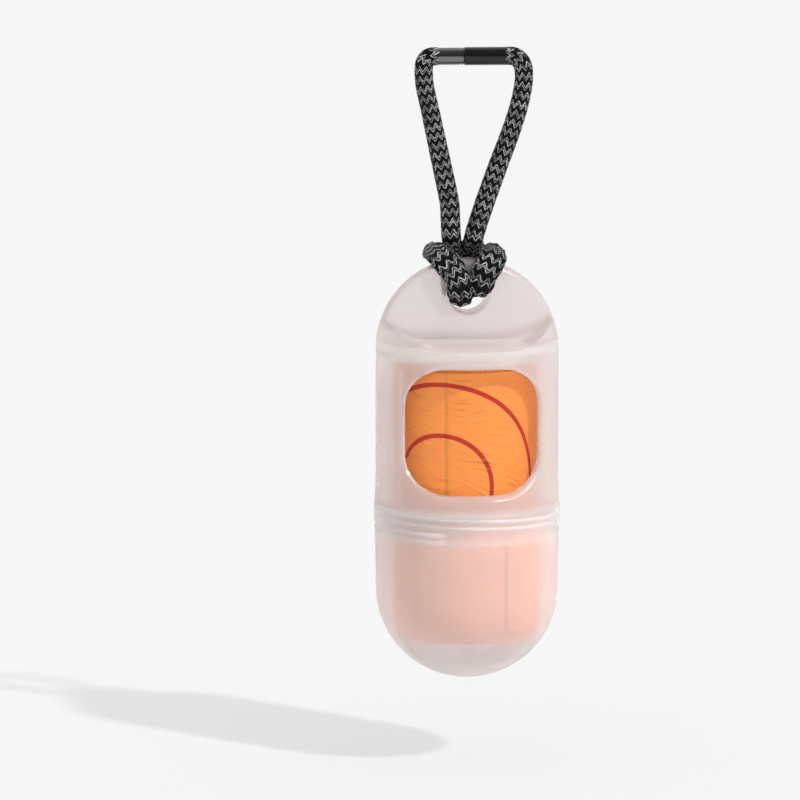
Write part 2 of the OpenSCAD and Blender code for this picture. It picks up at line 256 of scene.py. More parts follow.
# The cord's route in millimetres, the same as in the part's source
LEFT_LEG = [
    (-7, 0, 2), (-7.5, 0, 2), (-8.5, 0, 1.7), (-9.2, 0, 0.9), (-9.5, 0, -0.3), (-9.5, 0, -2.4),
    (-9.2, 0, -5), (-8.3, 0, -9), (-7.4, 0, -13.2), (-6.5, 0, -17.4), (-5.6, 0, -21.6),
    (-4.7, 0, -25.8), (-4, 0, -29.4), (-3.8, 0, -31.2),
]
RIGHT_LEG = [
    (8.7, 0, 2), (9.5, 0, 2), (10.6, 0, 1.7), (11.5, 0, 0.9), (12.1, 0, -0.3), (12.3, 0, -2.2),
    (12.1, 0, -4.8), (11.2, 0, -9), (9.9, 0, -13.2), (8.4, 0, -17.4), (6.8, 0, -21.6),
    (5.3, 0, -25.8), (4, 0, -29.4), (3.4, 0, -31.2),
]
HITCH = [
    (-3.6, 0, -35.8), (-3.4, 1.2, -37.6), (-3.1, 3.2, -39), (-2.9, 5.4, -40.5), (-2.8, 6.7, -43),
    (-2.6, 6.8, -46.2), (-2.3, 5.8, -48.9), (-1.9, 3.4, -50.2), (-1.8, 0, -50.3),
    (-1.7, -3.2, -50.2), (-1.8, -5.2, -49.5), (-2, -6.5, -48), (-2.5, -6.8, -46.2),
    (-3.9, -6.6, -43.8), (-5.2, -6.1, -42), (-6.1, -4.6, -40.9), (-6.5, -2, -40.5),
    (-6.8, 1.2, -40.4), (-6.9, 4.2, -40.8), (-6.9, 7, -41.6), (-6, 9.3, -42.2), (-4, 10.9, -42.5),
    (-1, 11.3, -42.6), (2, 11.2, -42.6), (4.6, 9.9, -42.4), (6.1, 7.4, -41.9), (5.9, 4.5, -41),
    (5.5, 1.2, -40.6), (5.4, -2, -40.6), (5.2, -4.7, -41), (4.5, -6.2, -42.4), (3.6, -6.6, -44),
    (2.8, -6.5, -45.7), (2.2, -5.5, -47.3), (1.6, -3.4, -47.9), (1.2, 0, -47.6), (1.2, 3.2, -47.6),
    (1.5, 5.8, -46.5), (1.7, 6.8, -44.4), (1.7, 6.7, -42.3), (1.6, 5.1, -40.2), (1.5, 2.8, -38.7),
    (1.6, 1, -37.4), (1.9, 0, -35.8),
]
SPLIT = 12  # the right leg is cut at this point, above the swing line


def smooth_line(route, steps=6):
    """A fine line in metres through a route's points in millimetres."""
    points = [Vector(p) / 1000 for p in route]
    line = []
    for i in range(len(points) - 1):
        a, b = points[max(i - 1, 0)], points[i]
        c, d = points[i + 1], points[min(i + 2, len(points) - 1)]
        for s in range(steps):
            t = s / steps
            line.append(0.5 * (
                2 * b + (c - a) * t + (2 * a - 5 * b + 4 * c - d) * t ** 2
                + (3 * b - a - 3 * c + d) * t ** 3
            ))
    return line + [points[-1]]


def line_length(line):
    return sum((b - a).length for a, b in zip(line, line[1:]))


def textile(name, colour, spread, rough):
    """Dyed yarn: its brightness varies from yarn to yarn and along the fibres."""
    material, nodes, links = new_material(name)
    shader = nodes["Principled BSDF"]
    shader.inputs["Roughness"].default_value = rough
    shader.inputs["Specular IOR Level"].default_value = 0.2
    shader.inputs["Sheen Weight"].default_value = 0.03
    shader.inputs["Sheen Roughness"].default_value = 0.4
    each = nodes.new("ShaderNodeAttribute")
    each.attribute_name = "yarn"
    place = nodes.new("ShaderNodeTexCoord")
    fibre = nodes.new("ShaderNodeTexNoise")
    fibre.inputs["Scale"].default_value = 9000
    fibre.inputs["Detail"].default_value = 2
    total = nodes.new("ShaderNodeMath")
    total.operation = "MULTIPLY"
    ramp = nodes.new("ShaderNodeMapRange")
    ramp.inputs["From Max"].default_value = 0.75
    ramp.inputs["To Min"].default_value = 1 - spread
    ramp.inputs["To Max"].default_value = 1 + spread
    links.new(place.outputs["Object"], fibre.inputs["Vector"])
    links.new(each.outputs["Fac"], total.inputs[0])
    links.new(fibre.outputs["Fac"], total.inputs[1])
    links.new(total.outputs[0], ramp.inputs["Value"])
    dyed = tinted(nodes, links, (*colour, 1), ramp.outputs["Result"], 1)
    links.new(dyed, shader.inputs["Base Color"])
    bumped(nodes, links, shader, fibre.outputs["Fac"], 0.5, 0.00005)
    return material


core_yarn = textile("cord_core", (0.003, 0.003, 0.0035), 0.2, 0.9)
dark_yarn = textile("cord_black", (0.0035, 0.0035, 0.004), 0.7, 0.6)
grey_yarn = textile("cord_grey", (0.44, 0.44, 0.45), 0.8, 0.65)


def braid_tree():
    """Sixteen yarns round each step of the cord, from a curve for its centreline."""
    tree = bpy.data.node_groups.new("braid", "GeometryNodeTree")
    face = tree.interface
    face.new_socket("Geometry", in_out="INPUT", socket_type="NodeSocketGeometry")
    for name, value in (
        ("Cord Radius", CORD_DIAMETER / 2), ("Step", ROW_PITCH / YARNS_PER_ROW),
        ("Yarn Length", YARN_LENGTH), ("Yarn Width", YARN_WIDTH),
        ("Yarn Height", YARN_HEIGHT), ("Lean", YARN_LEAN), ("Tab Rim", TAB_RIM),
        ("Tab Half Flat", TAB_HALF_FLAT), ("Widen", PRESS_WIDEN), ("Thin", PRESS_THIN),
        ("Sink", PRESS_SINK), ("Swell", SWELL),
    ):
        face.new_socket(name, in_out="INPUT", socket_type="NodeSocketFloat").default_value = value
    face.new_socket("Tab Centre", in_out="INPUT", socket_type="NodeSocketVector").default_value = TAB_CENTRE
    for name, value in (
        ("Columns", COLUMNS), ("Yarns", YARNS_PER_ROW), ("Seed", YARN_SEED),
        ("First Row", 0), ("Last Row", ALL_ROWS),
    ):
        face.new_socket(name, in_out="INPUT", socket_type="NodeSocketInt").default_value = value
    face.new_socket("Geometry", in_out="OUTPUT", socket_type="NodeSocketGeometry")
    add, link = tree.nodes.new, tree.links.new
    given = add("NodeGroupInput").outputs
    calc = calculator(tree)

    def vector_node(kind, a, b=None, result="Vector"):
        node = add("ShaderNodeVectorMath")
        node.operation = kind
        link(a, node.inputs[0])
        if kind == "SCALE":
            link(b, node.inputs["Scale"])
        elif b is not None:
            link(b, node.inputs[1])
        return node.outputs[result]

    def length(vector):
        return vector_node("LENGTH", vector, result="Value")

    def dot(a, b):
        return vector_node("DOT_PRODUCT", a, b, "Value")

    def ramp(value, low, high, first, last):
        node = add("ShaderNodeMapRange")
        node.interpolation_type = "SMOOTHSTEP"
        link(value, node.inputs["Value"])
        for socket, end in zip(node.inputs[1:5], (low, high, first, last)):
            if isinstance(end, (int, float)):
                socket.default_value = end
            else:
                link(end, socket)
        return node.outputs["Result"]

    steps = add("GeometryNodeResampleCurve")
    steps.mode = "LENGTH"
    link(given["Geometry"], steps.inputs["Curve"])
    link(given["Step"], steps.inputs["Length"])
    here = add("GeometryNodeInputPosition").outputs[0]
    apart = add("ShaderNodeSeparateXYZ")
    link(vector_node("SUBTRACT", here, given["Tab Centre"]), apart.inputs[0])
    sideways = add("ShaderNodeCombineXYZ")
    link(apart.outputs["X"], sideways.inputs["X"])
    link(apart.outputs["Z"], sideways.inputs["Z"])
    off_rim = calc("SUBTRACT", length(sideways.outputs[0]), given["Tab Rim"])
    off_rim = calc("MAXIMUM", off_rim, 0)
    off_face = calc("SUBTRACT", calc("ABSOLUTE", apart.outputs["Y"]), given["Tab Half Flat"])
    off_face = calc("MAXIMUM", off_face, 0)
    ahead = add("ShaderNodeCombineXYZ")
    link(calc("MULTIPLY", off_face, calc("SIGN", apart.outputs["Y"])), ahead.inputs["Y"])
    beyond = vector_node("SCALE", vector_node("NORMALIZE", sideways.outputs[0]), off_rim)
    away = vector_node("ADD", beyond, ahead.outputs[0])
    reach = length(away)
    flat = calc("MULTIPLY", ramp(reach, *PRESS_FROM, 0, 1), ramp(reach, *PRESS_TO, 1, 0))
    kept = add("GeometryNodeCaptureAttribute")
    for kind, name, value in (
        ("VECTOR", "tangent", add("GeometryNodeInputTangent").outputs[0]),
        ("VECTOR", "middle", here),
        ("VECTOR", "press", vector_node("NORMALIZE", away)),
        ("FLOAT", "flat", flat),
    ):
        kept.capture_items.new(kind, name)
        link(value, kept.inputs[name])
    link(steps.outputs["Curve"], kept.inputs["Geometry"])
    middle, press, flat = (kept.outputs[name] for name in ("middle", "press", "flat"))
    widened = calc("ADD", 1, calc("MULTIPLY", flat, given["Widen"]))
    thinned = calc("SUBTRACT", 1, calc("MULTIPLY", flat, given["Thin"]))
    level = add("ShaderNodeSeparateXYZ")
    link(middle, level.inputs[0])
    full = ramp(calc("MULTIPLY", level.outputs["Z"], -1), *SWELL_DEPTHS, 1, given["Swell"])

    def within(place):
        """One where a row belongs to this piece of the cord, and nought elsewhere."""
        started = calc("GREATER_THAN", place, calc("SUBTRACT", given["First Row"], 0.5))
        unended = calc("LESS_THAN", place, calc("ADD", given["Last Row"], 0.5))
        return calc("MULTIPLY", started, unended)

    index = add("GeometryNodeInputIndex").outputs[0]
    cut = add("GeometryNodeDeleteGeometry")
    link(kept.outputs["Geometry"], cut.inputs["Geometry"])
    link(calc("SUBTRACT", 1, within(index)), cut.inputs["Selection"])

    def sleeve_of(depth, line):
        """The cord's skin at a depth, pressed flat where it passes over the tab."""
        ring = add("GeometryNodeCurvePrimitiveCircle")
        inward = calc("MULTIPLY", given["Yarn Height"], depth)
        link(given["Columns"], ring.inputs["Resolution"])
        link(calc("SUBTRACT", given["Cord Radius"], inward), ring.inputs["Radius"])
        skin = add("GeometryNodeCurveToMesh")
        skin.inputs["Fill Caps"].default_value = depth == CORE_DEPTH
        link(line, skin.inputs["Curve"])
        link(ring.outputs["Curve"], skin.inputs["Profile Curve"])
        offset = vector_node("SUBTRACT", here, middle)
        high = calc("MULTIPLY", dot(offset, press), full)
        wide = vector_node("SCALE", offset, full)
        wide = vector_node("SUBTRACT", wide, vector_node("SCALE", press, high))
        sunk = calc("SUBTRACT", calc("MULTIPLY", high, thinned), calc("MULTIPLY", flat, given["Sink"]))
        moved = vector_node("ADD", vector_node("SCALE", wide, widened), vector_node("SCALE", press, sunk))
        placed = add("GeometryNodeSetPosition")
        link(skin.outputs["Mesh"], placed.inputs["Geometry"])
        link(vector_node("ADD", middle, moved), placed.inputs["Position"])
        return placed.outputs["Geometry"]

    column = calc("MODULO", index, given["Columns"])
    row = calc("FLOOR", calc("DIVIDE", calc("ADD", index, 0.5), given["Columns"]))
    side = calc("SUBTRACT", 1, calc("MULTIPLY", calc("MODULO", column, 2), 2))
    offset = vector_node("SUBTRACT", here, middle)
    high = dot(offset, press)
    wide = vector_node("SUBTRACT", offset, vector_node("SCALE", press, high))
    high = calc("MULTIPLY", high, calc("POWER", thinned, -2))
    wide = vector_node("SCALE", wide, calc("POWER", widened, -2))
    outward = vector_node("ADD", wide, vector_node("SCALE", press, high))
    round_way = vector_node("NORMALIZE", vector_node("CROSS_PRODUCT", kept.outputs["tangent"], outward))
    along = vector_node("SCALE", kept.outputs["tangent"], calc("COSINE", given["Lean"]))
    across = vector_node("SCALE", round_way, calc("MULTIPLY", side, calc("SINE", given["Lean"])))
    turn = add("FunctionNodeAxesToRotation")
    turn.primary_axis, turn.secondary_axis = "Z", "X"
    link(vector_node("ADD", along, across), turn.inputs["Primary Axis"])
    link(outward, turn.inputs["Secondary Axis"])
    swelling = add("ShaderNodeCombineXYZ")
    swelling.inputs["X"].default_value = 1
    swelling.inputs["Z"].default_value = 1
    link(calc("MULTIPLY", full, widened), swelling.inputs["Y"])

    chance = add("FunctionNodeRandomValue")
    link(given["Seed"], chance.inputs["Seed"])
    marked = add("GeometryNodeStoreNamedAttribute")
    marked.inputs["Name"].default_value = "yarn"
    link(sleeve_of(YARN_DEPTH, kept.outputs["Geometry"]), marked.inputs["Geometry"])
    link(chance.outputs[1], marked.inputs["Value"])

    ball = add("GeometryNodeMeshUVSphere")
    ball.inputs["Segments"].default_value = 5
    ball.inputs["Rings"].default_value = 3
    ball.inputs["Radius"].default_value = 0.5
    size = add("ShaderNodeCombineXYZ")
    link(given["Yarn Height"], size.inputs["X"])
    link(given["Yarn Width"], size.inputs["Y"])
    link(given["Yarn Length"], size.inputs["Z"])
    shaped = add("GeometryNodeTransform")
    link(ball.outputs["Mesh"], shaped.inputs["Geometry"])
    link(size.outputs[0], shaped.inputs["Scale"])

    order = calc("MODULO", row, given["Yarns"])
    nought_at_greys = calc("MULTIPLY", order, calc("SUBTRACT", order, SECOND_GREY))
    grey = calc("LESS_THAN", calc("ABSOLUTE", nought_at_greys), 0.5)
    dark = calc("SUBTRACT", 1, grey)
    joined = add("GeometryNodeJoinGeometry")
    for kind, material in ((grey, grey_yarn), (dark, dark_yarn)):
        spread = add("GeometryNodeInstanceOnPoints")
        link(marked.outputs["Geometry"], spread.inputs["Points"])
        link(calc("MULTIPLY", kind, within(row)), spread.inputs["Selection"])
        link(shaped.outputs["Geometry"], spread.inputs["Instance"])
        link(turn.outputs["Rotation"], spread.inputs["Rotation"])
        link(swelling.outputs[0], spread.inputs["Scale"])
        real = add("GeometryNodeRealizeInstances")
        link(spread.outputs["Instances"], real.inputs["Geometry"])
        dressed = add("GeometryNodeSetMaterial")
        dressed.inputs["Material"].default_value = material
        link(real.outputs["Geometry"], dressed.inputs["Geometry"])
        link(dressed.outputs["Geometry"], joined.inputs["Geometry"])

    inside = add("GeometryNodeSetMaterial")
    inside.inputs["Material"].default_value = core_yarn
    link(sleeve_of(CORE_DEPTH, cut.outputs["Geometry"]), inside.inputs["Geometry"])
    link(inside.outputs["Geometry"], joined.inputs["Geometry"])
    smooth = add("GeometryNodeSetShadeSmooth")
    link(joined.outputs["Geometry"], smooth.inputs["Geometry"])
    link(smooth.outputs["Geometry"], add("NodeGroupOutput").inputs["Geometry"])
    return tree


def made_by(tree, source, name, values=None):
    """Runs a node tree on an object and keeps its result as a plain mesh."""
    modifier = source.modifiers.new(tree.name, "NODES")
    modifier.node_group = tree
    for item in tree.interface.items_tree:
        if values and item.item_type == "SOCKET" and item.name in values:
            modifier[item.identifier] = values[item.name]
    evaluated = source.evaluated_get(bpy.context.evaluated_depsgraph_get())
    mesh = bpy.data.meshes.new_from_object(evaluated)
    mesh.name = name
    piece = put(name, mesh)
    bpy.data.objects.remove(source)
    return piece


def braided(name, line, rows):
    """The piece of a braided cord along a line that holds these rows of yarns."""
    curve = bpy.data.curves.new(name + "_line", "CURVE")
    curve.dimensions = "3D"
    spline = curve.splines.new("POLY")
    spline.points.add(len(line) - 1)
    for point, place in zip(spline.points, line):
        point.co = (*place, 1)
    source = put(name + "_line", curve)
    return made_by(braid, source, name, {"First Row": rows[0], "Last Row": rows[1]})


braid = braid_tree()
main_line = smooth_line(LEFT_LEG + HITCH + RIGHT_LEG[:SPLIT - 1:-1])
whole_line = smooth_line(LEFT_LEG + HITCH + RIGHT_LEG[::-1])
split_row = round(line_length(main_line) / (ROW_PITCH / YARNS_PER_ROW))
main_cord = braided("braided_cord", whole_line, (0, split_row))
short_cord = braided("braided_cord_right", whole_line, (split_row + 1, ALL_ROWS))
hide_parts("cord_left_leg", "cord_hitch")
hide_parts("cord_right_leg")
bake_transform(main_cord)
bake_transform(short_cord)


# ---------------------------------------------------------------- frosted shells
# The housing and its cap are moulded in milky plastic: light goes in and out of
# them blurred, the bags behind tint them, and a fine spark-eroded grain dulls them.

FROST_INDEX = 1.35
FROST_FORWARD = 0.42
GRAIN_SCALE = 5200
GRAIN_DEPTH = 0.000012
WELD_DISTANCE = 0.000002
SHARP_EDGE = math.radians(35)

# Each level: a height, the share of milk that scatters light there, the share of
# light that is let straight on, a roughness and a colour.
HOUSING_LEVELS = [
    (-0.1030, 0.24, 0.90, 0.18, (0.990, 0.970, 0.966)),  # neck
    (-0.0964, 0.24, 0.90, 0.18, (0.990, 0.970, 0.966)),
    # Painted highlight: a milkier, lighter band along the joint, which also hides the gap's shade.
    (-0.0958, 0.55, 0.80, 0.18, (0.990, 0.965, 0.960)),  # parting line
    (-0.0953, 0.55, 0.60, 0.18, (0.990, 0.965, 0.960)),
    (-0.0945, 0.44, 0.26, 0.18, (0.990, 0.948, 0.938)),  # wall round the roll
    (-0.0620, 0.38, 0.12, 0.18, (0.980, 0.940, 0.934)),
    # Painted highlight: a milkier, lighter band along the ledge's front edge.
    (-0.0610, 0.68, 0.30, 0.20, (0.985, 0.955, 0.950)),  # edge of the scoops' floor
    (-0.0602, 0.68, 0.30, 0.20, (0.985, 0.955, 0.950)),
    # Painted shade: the tab's colour is darker than the rest of the same plastic.
    (-0.0594, 0.36, 0.45, 0.22, (0.905, 0.848, 0.843)),  # tab
    (-0.0400, 0.36, 0.45, 0.20, (0.900, 0.843, 0.838)),
]
CAP_LEVELS = [
    (-0.1390, 0.58, 0.85, 0.12, (0.990, 0.970, 0.967)),  # bottom under the roll
    (-0.1290, 0.48, 0.80, 0.07, (0.990, 0.970, 0.967)),
    (-0.1200, 0.41, 0.62, 0.06, (0.992, 0.950, 0.940)),  # wall round the roll
    (-0.1130, 0.42, 0.62, 0.16, (0.992, 0.948, 0.938)),
    (-0.1020, 0.42, 0.62, 0.18, (0.992, 0.948, 0.938)),
    (-0.1000, 0.30, 0.90, 0.18, (0.990, 0.960, 0.955)),  # round the neck
    (-0.0970, 0.30, 0.90, 0.18, (0.990, 0.960, 0.955)),
    # Painted highlight: the cap's rim is milkier and lighter along the joint, which also hides the gap's
    # shade.
    (-0.0964, 0.50, 0.90, 0.18, (0.990, 0.965, 0.960)),  # rim
    (-0.0950, 0.50, 0.90, 0.18, (0.990, 0.965, 0.960)),
]


def frosted(name, levels):
    """Moulded plastic that blurs what it holds, with its look set by height."""
    material, nodes, links = new_material(name)
    place = nodes.new("ShaderNodeTexCoord")
    height = nodes.new("ShaderNodeSeparateXYZ")
    level = nodes.new("ShaderNodeMapRange")
    level.inputs["From Min"].default_value = levels[0][0]
    level.inputs["From Max"].default_value = levels[-1][0]
    links.new(place.outputs["Object"], height.inputs[0])
    links.new(height.outputs["Z"], level.inputs["Value"])

    def by_level(values):
        ramp = nodes.new("ShaderNodeValToRGB")
        stops = ramp.color_ramp.elements
        for i, (entry, value) in enumerate(zip(levels, values)):
            spot = (entry[0] - levels[0][0]) / (levels[-1][0] - levels[0][0])
            stop = stops[0] if i == 0 else stops[-1] if i == len(levels) - 1 else stops.new(spot)
            stop.position = spot
            stop.color = (*value, 1)
        links.new(level.outputs["Result"], ramp.inputs["Fac"])
        return ramp.outputs["Color"]

    colour = by_level([entry[4] for entry in levels])
    shares = nodes.new("ShaderNodeSeparateColor")
    links.new(by_level([entry[1:4] for entry in levels]), shares.inputs["Color"])
    grain = nodes.new("ShaderNodeTexNoise")
    grain.inputs["Scale"].default_value = GRAIN_SCALE
    grain.inputs["Detail"].default_value = 3
    bump = nodes.new("ShaderNodeBump")
    bump.inputs["Strength"].default_value = 0.6
    bump.inputs["Distance"].default_value = GRAIN_DEPTH
    links.new(place.outputs["Object"], grain.inputs["Vector"])
    links.new(grain.outputs["Fac"], bump.inputs["Height"])
    glass = nodes["Principled BSDF"]
    glass.inputs["IOR"].default_value = FROST_INDEX
    glass.inputs["Transmission Weight"].default_value = 1
    back = nodes.new("ShaderNodeBsdfPrincipled")
    for shader in (glass, back):
        links.new(colour, shader.inputs["Base Color"])
        links.new(shares.outputs["Blue"], shader.inputs["Roughness"])
        links.new(bump.outputs["Normal"], shader.inputs["Normal"])
    onward = nodes.new("ShaderNodeBsdfTranslucent")
    links.new(colour, onward.inputs["Color"])
    milk = nodes.new("ShaderNodeMixShader")
    milk.inputs["Fac"].default_value = FROST_FORWARD
    links.new(back.outputs[0], milk.inputs[1])
    links.new(onward.outputs[0], milk.inputs[2])
    body = nodes.new("ShaderNodeMixShader")
    links.new(shares.outputs["Red"], body.inputs["Fac"])
    links.new(glass.outputs[0], body.inputs[1])
    links.new(milk.outputs[0], body.inputs[2])
    rays = nodes.new("ShaderNodeLightPath")
    onward_share = calculator(material.node_tree)(
        "MULTIPLY", rays.outputs["Is Shadow Ray"], shares.outputs["Green"])
    clear = nodes.new("ShaderNodeBsdfTransparent")
    links.new(colour, clear.inputs["Color"])
    mixed = nodes.new("ShaderNodeMixShader")
    links.new(onward_share, mixed.inputs["Fac"])
    links.new(body.outputs[0], mixed.inputs[1])
    links.new(clear.outputs[0], mixed.inputs[2])
    links.new(mixed.outputs[0], nodes["Material Output"].inputs["Surface"])
    return material


def smooth_copy(node, name):
    """The node's own surface as one welded mesh, smooth except at its edges."""
    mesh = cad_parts[node].data.copy()
    mesh.name = name
    form = bmesh.new()
    form.from_mesh(mesh)
    bmesh.ops.remove_doubles(form, verts=form.verts, dist=WELD_DISTANCE)
    bmesh.ops.dissolve_degenerate(form, edges=form.edges, dist=WELD_DISTANCE)
    for face in form.faces:
        face.smooth = True
    for edge in form.edges:
        edge.smooth = len(edge.link_faces) == 2 and edge.calc_face_angle(0) < SHARP_EDGE
    form.to_mesh(mesh)
    form.free()
    if "custom_normal" in mesh.attributes:
        mesh.attributes.remove(mesh.attributes["custom_normal"])
    mesh.materials.clear()
    piece = put(name, mesh)
    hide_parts(node)
    return piece


housing = smooth_copy("upper_shell", "housing")
housing.data.materials.append(frosted("housing_plastic", HOUSING_LEVELS))
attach(housing, "shell")
cup = smooth_copy("lower_cap", "screw_cap")
cup.data.materials.append(frosted("cap_plastic", CAP_LEVELS))
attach(cup, "cap")


# ---------------------------------------------------------------- screw thread
# One rounded ridge winds up the neck and another up the cap's bore, at a pitch of
# three and a half millimetres, right-handed. About half a pitch lies between them.

THREAD_PITCH = 0.0035
THREAD_TURNS = 1.45
NECK_RADIUS = 0.01825
CAP_BORE = 0.0189
NECK_THREAD_FOOT = -0.10215
CAP_THREAD_FOOT = -0.10045
THREAD_START = math.radians(-110)
RIDGE_HEIGHT = 0.0005
RIDGE_WIDTH = 0.00085
# Painted highlight: the ridges are milkier and lighter than the plastic round them, so they show as light
# lines.
RIDGE_HIGHLIGHT_LEVELS = [
    (-0.1100, 0.85, 0.90, 0.18, (0.995, 0.975, 0.970)),
    (-0.0900, 0.85, 0.90, 0.18, (0.995, 0.975, 0.970)),
]


def thread_tree():
    """A helical ridge of an oval section, half sunk into its wall."""
    tree = bpy.data.node_groups.new("thread_ridge", "GeometryNodeTree")
    face = tree.interface
    face.new_socket("Geometry", in_out="INPUT", socket_type="NodeSocketGeometry")
    for name, value in (
        ("Radius", NECK_RADIUS), ("Pitch", THREAD_PITCH), ("Turns", THREAD_TURNS),
        ("Height", RIDGE_HEIGHT), ("Width", RIDGE_WIDTH),
    ):
        face.new_socket(name, in_out="INPUT", socket_type="NodeSocketFloat").default_value = value
    face.new_socket("Material", in_out="INPUT", socket_type="NodeSocketMaterial")
    face.new_socket("Geometry", in_out="OUTPUT", socket_type="NodeSocketGeometry")
    add, link = tree.nodes.new, tree.links.new
    given = add("NodeGroupInput").outputs
    calc = calculator(tree)
    helix = add("GeometryNodeCurveSpiral")
    helix.inputs["Resolution"].default_value = 96
    link(given["Turns"], helix.inputs["Rotations"])
    link(given["Radius"], helix.inputs["Start Radius"])
    link(given["Radius"], helix.inputs["End Radius"])
    link(calc("MULTIPLY", given["Pitch"], given["Turns"]), helix.inputs["Height"])
    upright = add("GeometryNodeSetCurveNormal")
    upright.mode = "Z_UP"
    link(helix.outputs["Curve"], upright.inputs["Curve"])
    section = add("GeometryNodeCurvePrimitiveCircle")
    section.inputs["Resolution"].default_value = 10
    section.inputs["Radius"].default_value = 1
    shape = add("ShaderNodeCombineXYZ")
    link(given["Height"], shape.inputs["X"])
    link(calc("MULTIPLY", given["Width"], 0.5), shape.inputs["Y"])
    shape.inputs["Z"].default_value = 1
    flat = add("GeometryNodeTransform")
    link(section.outputs["Curve"], flat.inputs["Geometry"])
    link(shape.outputs[0], flat.inputs["Scale"])
    ridge = add("GeometryNodeCurveToMesh")
    ridge.inputs["Fill Caps"].default_value = True
    link(upright.outputs["Curve"], ridge.inputs["Curve"])
    link(flat.outputs["Geometry"], ridge.inputs["Profile Curve"])
    smooth = add("GeometryNodeSetShadeSmooth")
    link(ridge.outputs["Mesh"], smooth.inputs["Geometry"])
    dressed = add("GeometryNodeSetMaterial")
    link(smooth.outputs["Geometry"], dressed.inputs["Geometry"])
    link(given["Material"], dressed.inputs["Material"])
    link(dressed.outputs["Geometry"], add("NodeGroupOutput").inputs["Geometry"])
    return tree


thread = thread_tree()
for name, wall, foot, body, slot in (
    ("neck_thread", NECK_RADIUS, NECK_THREAD_FOOT, "shell", "shell_plastic"),
    ("cap_thread", CAP_BORE, CAP_THREAD_FOOT, "cap", "cap_plastic"),
):
    plastic = frosted(name + "_plastic", RIDGE_HIGHLIGHT_LEVELS)
    seed_object = put(name + "_seed", bpy.data.meshes.new(name + "_seed"))
    ridge = made_by(thread, seed_object, name, {"Radius": wall, "Material": plastic})
    ridge.data.transform(Matrix.Translation((0, 0, foot)) @ Matrix.Rotation(THREAD_START, 4, "Z"))
    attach(ridge, body)


# ---------------------------------------------------------------- bag roll and core
# The wound bags show as fine rings at the roll's ends, round a card tube.

WINDING_PITCH = 0.00055
FILM_COLOUR = (0.935, 0.285, 0.050)


def wound_film(name, colour):
    """Orange film whose ends show the turns of the winding."""
    material, nodes, links = new_material(name)
    calc = calculator(material.node_tree)
    shader = nodes["Principled BSDF"]
    shader.inputs["Roughness"].default_value = 0.45
    place = nodes.new("ShaderNodeTexCoord")
    split = nodes.new("ShaderNodeSeparateXYZ")
    flat = nodes.new("ShaderNodeCombineXYZ")
    radius = nodes.new("ShaderNodeVectorMath")
    radius.operation = "LENGTH"
    links.new(place.outputs["Object"], split.inputs[0])
    links.new(split.outputs["X"], flat.inputs["X"])
    links.new(split.outputs["Y"], flat.inputs["Y"])
    links.new(flat.outputs[0], radius.inputs[0])
    wave = calc("SINE", calc("MULTIPLY", radius.outputs["Value"], 2 * math.pi / WINDING_PITCH))
    shade = nodes.new("ShaderNodeMapRange")
    shade.inputs["From Min"].default_value = -1
    shade.inputs["To Min"].default_value = 0.8
    links.new(wave, shade.inputs["Value"])
    links.new(tinted(nodes, links, (*colour, 1), shade.outputs["Result"], 1), shader.inputs["Base Color"])
    bumped(nodes, links, shader, wave, 0.5, 0.0001)
    return material


def pulped_card(name):
    """Brown card with darker and lighter pulp."""
    material, nodes, links = new_material(name)
    shader = nodes["Principled BSDF"]
    shader.inputs["Roughness"].default_value = 0.9
    place = nodes.new("ShaderNodeTexCoord")
    pulp = nodes.new("ShaderNodeTexNoise")
    pulp.inputs["Scale"].default_value = 900
    pulp.inputs["Detail"].default_value = 5
    tone = nodes.new("ShaderNodeValToRGB")
    tone.color_ramp.elements[0].color = (0.30, 0.20, 0.12, 1)
    tone.color_ramp.elements[1].color = (0.46, 0.33, 0.21, 1)
    links.new(place.outputs["Object"], pulp.inputs["Vector"])
    links.new(pulp.outputs["Fac"], tone.inputs["Fac"])
    links.new(tone.outputs["Color"], shader.inputs["Base Color"])
    return material


for node, material in (
    ("bag_roll", wound_film("wound_film", FILM_COLOUR)),
    ("roll_core", pulped_card("card")),
):
    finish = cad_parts[node].data.materials
    finish.clear()
    finish.append(material)


# ---------------------------------------------------------------- loose first bag
# The outer turn of printed film lies round the roll with a pressed fold and fine
# sideways wrinkles. Its print is plain concentric arches, stamped along the film.

FILM_RADIUS = 0.01612
FILM_THICK = 0.00016
FILM_LOW, FILM_HIGH = -0.1224, -0.0652
FILM_COLUMNS = 300
FILM_ROWS = 120
FILM_WRAP = math.radians(328)
FOLD_PLACE = -0.0061
FOLD_DEPTH = 0.00018
FOLD_SPREAD = 0.0005
ARCH_CENTRE = (-0.0072, -0.0903)
ARCH_RADII = (0.0113, 0.0224)
ARCH_PITCH = 0.0550
ARCH_WIDTH = 0.0010
ARCH_LEG = 0.0022  # the arches end this far under their centre
PRINT_COLOUR = (0.52, 0.018, 0.002, 1)
# Painted shade along the pressed fold: its width, its tint and how far it darkens.
FOLD_SHADE_WIDTH = 0.0004
FOLD_SHADE_TINT = (0.66, 0.80, 1, 1)
FOLD_SHADE_SHARE = 0.6
EDGE_LINES = [(-0.0133, -0.1150), (0.0074, -0.1020)]  # place round the film and top end
EDGE_HALF_WIDTH = 0.0004
EDGE_TINT = (0.40, 0.20, 0.80, 1)

# Each wave of the film: noise cells in a metre round the roll, how they shift with
# height, cells in a metre up the roll, a place in the noise, and a depth.
FILM_WAVES = [
    (90, 0, 420, 1.7, 0.00011),
    (160, 300, 900, 5.1, 0.00007),
    (60, 0, 70, 9.3, 0.00022),
]

